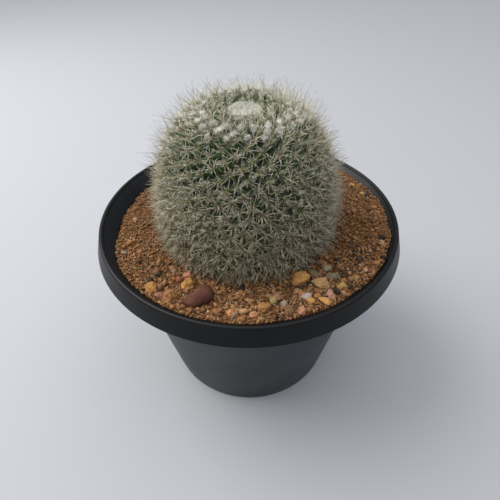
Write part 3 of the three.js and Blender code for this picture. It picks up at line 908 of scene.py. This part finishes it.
def radialSpine():
    # glassy white radial spines, cream near the foot; older spines lower on the plant are darker and
    # browner, partly with age and partly as painted shade
    material, tree = newMaterial("radialSpine")
    tone, age, along = (
        addNode(tree, "Attribute", attribute_name=title) for title in ("tone", "age", "along")
    )
    fresh = setRamp(
        addNode(tree, "ValToRGB", None, {"Fac": tone.outputs["Fac"]}),
        [(0.0, "#62633f"), (0.3, "#b0af84"), (0.65, "#f3f1d6"), (1.0, "#fffffa")],
    )
    # older spines: browner with age, and darkened further as painted shade on the lower plant
    agedAndShaded = setRamp(
        addNode(tree, "ValToRGB", None, {"Fac": tone.outputs["Fac"]}),
        [(0.0, "#251d10"), (0.35, "#55462c"), (0.7, "#b7a274"), (1.0, "#fbeecb")],
    )
    grown = addNode(
        tree, "Mix", None, {0: age.outputs["Fac"], 6: fresh.outputs[0], 7: agedAndShaded.outputs[0]}, data_type="RGBA"
    )
    foot = setRamp(
        addNode(tree, "ValToRGB", None, {"Fac": along.outputs["Fac"]}),
        [(0.0, 0.7), (0.35, 0.0)],
    )
    colour = addNode(
        tree, "Mix", {7: srgb("#a08a4a")}, {0: foot.outputs[0], 6: grown.outputs[2]}, data_type="RGBA"
    )
    finishNeedle(tree, colour.outputs[2], 0.15)
    return material


def centralSpine():
    # stiffer centrals: straw-coloured shafts with red-brown to black tips
    material, tree = newMaterial("centralSpine")
    tone, along = (addNode(tree, "Attribute", attribute_name=title) for title in ("tone", "along"))
    shaft = setRamp(
        addNode(tree, "ValToRGB", None, {"Fac": along.outputs["Fac"]}),
        [(0.0, "#b8a468"), (0.3, "#ebe7d4"), (0.72, "#d2c6a8"), (0.87, "#331e15")],
    )
    worn = addNode(
        tree, "Mix", {7: srgb("#8c887c")}, {0: tone.outputs["Fac"], 6: shaft.outputs[0]}, data_type="RGBA"
    )
    finishNeedle(tree, worn.outputs[2], 0.15)
    return material


# A needle one unit long with its foot at the origin: a three-sided cone, cut across, swelled and bowed.
def needlePattern(cuts, bow, blunt=2.2):
    bpy.ops.mesh.primitive_cone_add(vertices=3, radius1=1, radius2=0, depth=1, location=(0, 0, 0.5))
    needle = bpy.context.object
    applyPlace(needle)
    bpy.ops.object.mode_set(mode="EDIT")
    for height in cuts:
        bpy.ops.mesh.select_all(action="SELECT")
        bpy.ops.mesh.bisect(plane_co=(0, 0, height), plane_no=(0, 0, 1))
    bpy.ops.object.mode_set(mode="OBJECT")
    places = cornersOf(needle)
    height = places[:, 2]
    fuller = np.where(height < 0.999, (1 - height**3) / np.maximum(1 - height, 1e-3), 1)
    places[:, :2] *= np.clip(fuller, 1, blunt)[:, None]
    places[:, 0] += bow * height * (1 - height) * 4
    moveCorners(needle, places)
    return needle


def spineDirections(who, turn, lift):  # turn runs from the row's own direction
    along, across = knobAlong[who], knobAcross[who]
    flat = along * np.cos(turn)[:, None] + across * np.sin(turn)[:, None]
    return flat, flat * np.cos(lift)[:, None] + areoleNormal[who] * np.sin(lift)[:, None]


def makeRadials():
    rng = np.random.default_rng(spines["seed"])
    each = spines["radialEach"]
    who = np.repeat(np.arange(knobCount), each)
    count = len(who)
    reach = knobReach[who]
    turn = rng.uniform(0, math.tau, count)
    across = np.sin(turn) ** 2 * np.clip((68 - reach) / 20, 0.15, 1)
    lift = rng.normal(0, 0.26, count) + np.interp(reach, spineReach, radialLifts)
    lift += spines["groove"] * 0.5 * across
    flat, direction = spineDirections(who, turn, np.clip(lift, 0.02, 1.4))
    direction += rng.normal(0, 0.34, (count, 3))
    direction[:, 2] -= 1.1 * knobAge[who] ** 4
    length = np.interp(reach, spineReach, radialLengths) * np.clip(rng.normal(1, 0.28, count), 0.4, 1.7)
    length *= 1 - spines["groove"] * across
    stout = rng.random(count) < spines["stoutShare"]
    width = np.where(stout, rng.uniform(1.05, 1.6, count), rng.uniform(0.6, 0.9, count))
    width *= spines["radialGirth"]
    feet = knobTip[who] + flat * 0.5 + areoleNormal[who] * 0.25 + rng.normal(0, 0.8, (count, 3))
    tone = np.where(stout, rng.uniform(0.7, 1.0, count), rng.uniform(0.0, 0.7, count))
    needle = needlePattern([0.5], 1.8)
    spots = aim(feet * mm, direction, length * mm, width * mm, rng.uniform(0, math.tau, count))
    material = radialSpine()
    for number, mine in enumerate(np.array_split(np.arange(count), 3)):
        piece = scatter(f"radial_spines_{number + 1}", needle, spots[mine], tone[mine], knobAge[who][mine])
        dressAs(piece, material, "spine")
    discard(needle)


def makeCentrals():
    rng = np.random.default_rng(spines["seed"] + 1)
    each = spines["centralEach"]
    who = np.repeat(np.arange(knobCount), each)
    count = len(who)
    turn = np.tile(np.arange(each), knobCount) / each * math.tau + rng.normal(0, 0.4, count)
    turn += np.repeat(rng.uniform(0, math.tau, knobCount), each)
    flat, direction = spineDirections(who, turn, np.clip(rng.normal(1.0, 0.22, count), 0.5, 1.5))
    length = np.interp(knobReach[who], spineReach, centralLengths)
    length *= np.clip(rng.normal(1, 0.24, count), 0.4, 1.6)
    width = spines["centralGirth"] * rng.uniform(0.85, 1.1, count) * np.where(knobReach[who] < 12, 1.5, 1)
    feet = knobTip[who] + flat * 0.2 + areoleNormal[who] * 0.2
    tone = np.clip(knobAge[who] ** 1.5 * 0.6 + rng.normal(0.05, 0.12, count), 0, 0.85)
    needle = needlePattern([0.5, 0.84], 3.0, 5.0)
    spots = aim(feet * mm, direction, length * mm, width * mm, rng.uniform(0, math.tau, count))
    material = centralSpine()
    dressAs(scatter("central_spines", needle, spots, tone, knobAge[who]), material, "spine")
    discard(needle)
    for number in range(1, 7):  # the tallest ones, which set the height
        low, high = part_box(f"crown_spine_{number}")
        foot = np.array([(low.x + high.x) / 2, (low.y + high.y) / 2, low.z])
        lean = unit(foot[:2] / mm - axisXY) * 0.16
        single = needlePattern([0.3, 0.55, 0.84], 1.5, 5.0)
        spots = aim(foot[None], np.array([[*lean, 1.0]]), np.array([high.z - low.z]),
                    np.array([spines["centralGirth"] * 1.1 * mm]), np.zeros(1))
        piece = scatter(f"crown_central_{number}", single, spots, np.zeros(1))
        dressAs(piece, material, "spine", f"crown_spine_{number}")
        discard(single)


def areoleFelt():
    # short woolly felt at each knob's tip, straw to tan
    material, tree = newMaterial("areoleFelt")
    age = addNode(tree, "Attribute", attribute_name="age")
    colour = setRamp(
        addNode(tree, "ValToRGB", None, {"Fac": age.outputs["Fac"]}),
        [(0.0, "#d8d2b4"), (0.2, "#a88b57"), (0.6, "#93804f"), (1.0, "#6a604f")],
    )
    felt = addNode(
        tree, "BsdfPrincipled", {"Roughness": 1.0, "Sheen Weight": 0.3}, {"Base Color": colour.outputs[0]}
    )
    addNode(tree, "OutputMaterial", None, {"Surface": felt.outputs[0]})
    return material


def makeAreoles():
    rng = np.random.default_rng(31)
    bpy.ops.mesh.primitive_ico_sphere_add(subdivisions=1, radius=1)
    pad = bpy.context.object
    moveCorners(pad, cornersOf(pad) * rng.uniform(0.85, 1.15, (12, 1)))
    width = 0.65 * knobSize * rng.uniform(0.8, 1.2, knobCount)
    spots = aim(knobTip * mm, areoleNormal, width * 0.7 * mm, width * mm, rng.uniform(0, 6, knobCount))
    piece = scatter("areole_pads", pad, spots, rng.random(knobCount), knobAge)
    onlySelect(piece)
    bpy.ops.object.shade_smooth()
    dressAs(piece, areoleFelt(), "wool")
    discard(pad)


makeAreoles()
makeRadials()
makeCentrals()
print("spines grown")

wool = {
    "crownHairs": 5200,
    "crownRadius": 9.3,
    "tuftHairs": 420,
    "girth": 0.07,
    "longTuft": [24.6, 28.6, 32.4],  # where its clumps lie, mm from the crown
    "shortTuft": [25.4, 30.4],
    "seed": 23,
}


def plantWool():
    # matted plant hair: pure white on the tufts, cream on the crown, soft and unshiny
    material, tree = newMaterial("plantWool")
    place = addNode(tree, "TexCoord").outputs["Object"]
    clump = addNode(tree, "TexNoise", {"Scale": 700.0, "Detail": 4.0}, {"Vector": place})
    tone = addNode(tree, "Attribute", attribute_name="tone")
    mixed = addNode(
        tree, "Mix", {0: 0.5}, {2: clump.outputs["Fac"], 3: tone.outputs["Fac"]}, data_type="FLOAT"
    )
    colour = setRamp(
        addNode(tree, "ValToRGB", None, {"Fac": mixed.outputs[0]}),
        [(0.2, "#bab7aa"), (0.5, "#e6e4db"), (0.85, "#fefefa")],
    )
    bump = addNode(tree, "Bump", {"Strength": 0.8, "Distance": 0.0004}, {"Height": clump.outputs["Fac"]})
    hair = addNode(
        tree, "BsdfPrincipled", {"Roughness": 1.0, "Sheen Weight": 0.4, "Specular IOR Level": 0.2},
        {"Base Color": colour.outputs[0], "Normal": bump.outputs[0]},
    )
    addNode(tree, "OutputMaterial", None, {"Surface": hair.outputs[0]})
    return material


woolMaterial = plantWool()


# Hairs start inside a clump and curl outwards over its surface.
def growHairs(name, starts, directions, lengths, rng, bright):
    hair = needlePattern([0.33, 0.66], 3.5)
    spots = aim(starts * mm, directions, lengths * mm, np.full(len(starts), wool["girth"] * mm),
                rng.uniform(0, math.tau, len(starts)))
    piece = scatter(name, hair, spots, rng.random(len(starts)) * bright)
    discard(hair)
    return piece


def feltClump(name, centre, axes, seed, bright):
    bpy.ops.mesh.primitive_ico_sphere_add(subdivisions=4, radius=1)
    clump = bpy.context.object
    clump.name = name
    places = cornersOf(clump)
    offset = Vector((seed * 3.7, 1.1, 0.4))
    lumps = np.array([noise.fractal(Vector(p) * 2.2 + offset, 0.7, 2.3, 6) for p in places])
    places *= 1 + 0.38 * lumps[:, None]
    moveCorners(clump, (places @ np.array(axes) + centre) * mm)
    for title in ("tone", "along", "age"):
        attribute = clump.data.attributes.new(title, "FLOAT", "POINT")
        attribute.data.foreach_set("value", np.full(len(places), bright, np.float32))
    onlySelect(clump)
    bpy.ops.object.shade_smooth()
    return clump


def joinInto(first, others):
    onlySelect(first)
    for other in others:
        other.select_set(True)
    bpy.ops.object.join()
    return first


def makeCrownWool():
    rng = np.random.default_rng(wool["seed"])
    centre, _ = onStem(np.array([0.01]), np.array([0.0]))
    clump = feltClump("crown_wool_felt", centre[0] + [0, 0, -1.3], np.diag([8.3, 8.3, 1.9]), 1, 0.5)
    count = wool["crownHairs"]
    reach = wool["crownRadius"] * np.sqrt(rng.random(count))
    angle = rng.uniform(0, math.tau, count)
    starts, normals = onStem(reach, angle, np.full(count, 0.2))
    directions = normals * 0.7 + rng.normal(0, 0.6, (count, 3))
    directions[:, 2] = np.abs(directions[:, 2])
    hairs = growHairs("crown_hairs", starts, directions, rng.uniform(0.9, 1.9, count), rng, 1.0)
    dressAs(joinInto(clump, [hairs]), woolMaterial, "wool", "crown_wool")


def makeTuft(row):
    rng = np.random.default_rng(wool["seed"] + 1 + row)
    title = f"wool_tuft_{row + 1:02d}"
    parts = []
    blobs = wool["longTuft"] if row % 3 else wool["shortTuft"]
    for number, reach in enumerate(blobs):
        reach += rng.uniform(-0.7, 0.7)
        angle = float(rowAngle(reach, row + 0.5))
        centre, normal = onStem(np.array([reach]), np.array([angle]), np.array([0.3]))
        nextPlace, _ = onStem(np.array([reach + 1]), np.array([float(rowAngle(reach + 1, row + 0.5))]))
        along = nextPlace[0] - centre[0]
        along -= normal[0] * along.dot(normal[0])
        along /= np.linalg.norm(along)
        across = np.cross(normal[0], along)
        size = rng.uniform(0.45, 1.1) * (0.7 if number == len(blobs) - 1 else 1.0)
        axes = np.stack([along * 1.9, across * 1.25, normal[0] * 1.1]) * size
        parts.append(feltClump(f"{title}_clump{number}", centre[0], axes, row * 3 + number, 0.5))
        count = wool["tuftHairs"] // len(blobs)
        ball = rng.normal(size=(count, 3))
        ball /= np.linalg.norm(ball, axis=1, keepdims=True)
        starts = centre[0] + (ball * 0.8) @ axes
        directions = ball @ np.stack([along, across, normal[0]]) + normal[0] * 0.5
        directions += rng.normal(0, 0.55, (count, 3))
        lengths = rng.uniform(1.0, 2.6, count)
        parts.append(growHairs(f"{title}_hairs{number}", starts, directions, lengths, rng, 1.0))
    tuft = joinInto(parts[0], parts[1:])
    tuft.name = title + "_hair"
    dressAs(tuft, woolMaterial, "wool", title)


makeCrownWool()
for row in range(plant["rows"]):
    makeTuft(row)
print("wool grown")


light = {
    "floor": "#a3a4a8",
    "floorSize": 30,  # metres
    "floorDrop": 0.4,  # mm below the pot's foot
    "world": "#c3cad6",
    "worldStrength": 0.72,
    "openingPlace": (-0.95, 0.25, 1.15),  # metres, behind and to the left
    "openingSize": 1.3,
    "openingPower": 23.5,
    "skyPower": 1.9,
    "skySpread": 90,  # degrees
}


def makeStage():
    bpy.ops.mesh.primitive_plane_add(size=light["floorSize"], location=(0, 0, -light["floorDrop"] * mm))
    floor = bpy.context.object
    floor.name = "pale_floor"
    material, tree = newMaterial("paleFloor")
    plain = addNode(tree, "BsdfPrincipled", {"Base Color": srgb(light["floor"]), "Roughness": 0.9})
    addNode(tree, "OutputMaterial", None, {"Surface": plain.outputs[0]})
    floor.data.materials.append(material)


def addSoftbox(name, place, target, size, power, colour):
    data = bpy.data.lights.new(name, "AREA")
    data.shape = "DISK"
    data.size = size
    data.energy = power
    data.color = colour
    lamp = bpy.data.objects.new(name, data)
    bpy.context.scene.collection.objects.link(lamp)
    lamp.location = place
    lamp.rotation_mode = "QUATERNION"
    lamp.rotation_quaternion = (Vector(target) - Vector(place)).to_track_quat("-Z", "Y")


def makeLight():
    world = bpy.data.worlds.new("sky")
    world.use_nodes = True
    background = world.node_tree.nodes["Background"]
    background.inputs["Color"].default_value = srgb(light["world"])
    background.inputs["Strength"].default_value = light["worldStrength"]
    bpy.context.scene.world = world
    addSoftbox(
        "skyOpening", light["openingPlace"], (0, 0, 0.15),
        light["openingSize"], light["openingPower"], (1.0, 0.98, 0.94),
    )
    haze = bpy.data.lights.new("openSky", "SUN")  # a broad glow from above, the same all over the floor
    haze.energy = light["skyPower"]
    haze.angle = math.radians(light["skySpread"])
    haze.color = (1.0, 0.99, 0.97)
    overhead = bpy.data.objects.new("openSky", haze)
    overhead.location = (0, 0, 2)
    bpy.context.scene.collection.objects.link(overhead)
    bpy.context.scene.view_settings.view_transform = "Standard"


makeStage()
makeLight()
print("lit")
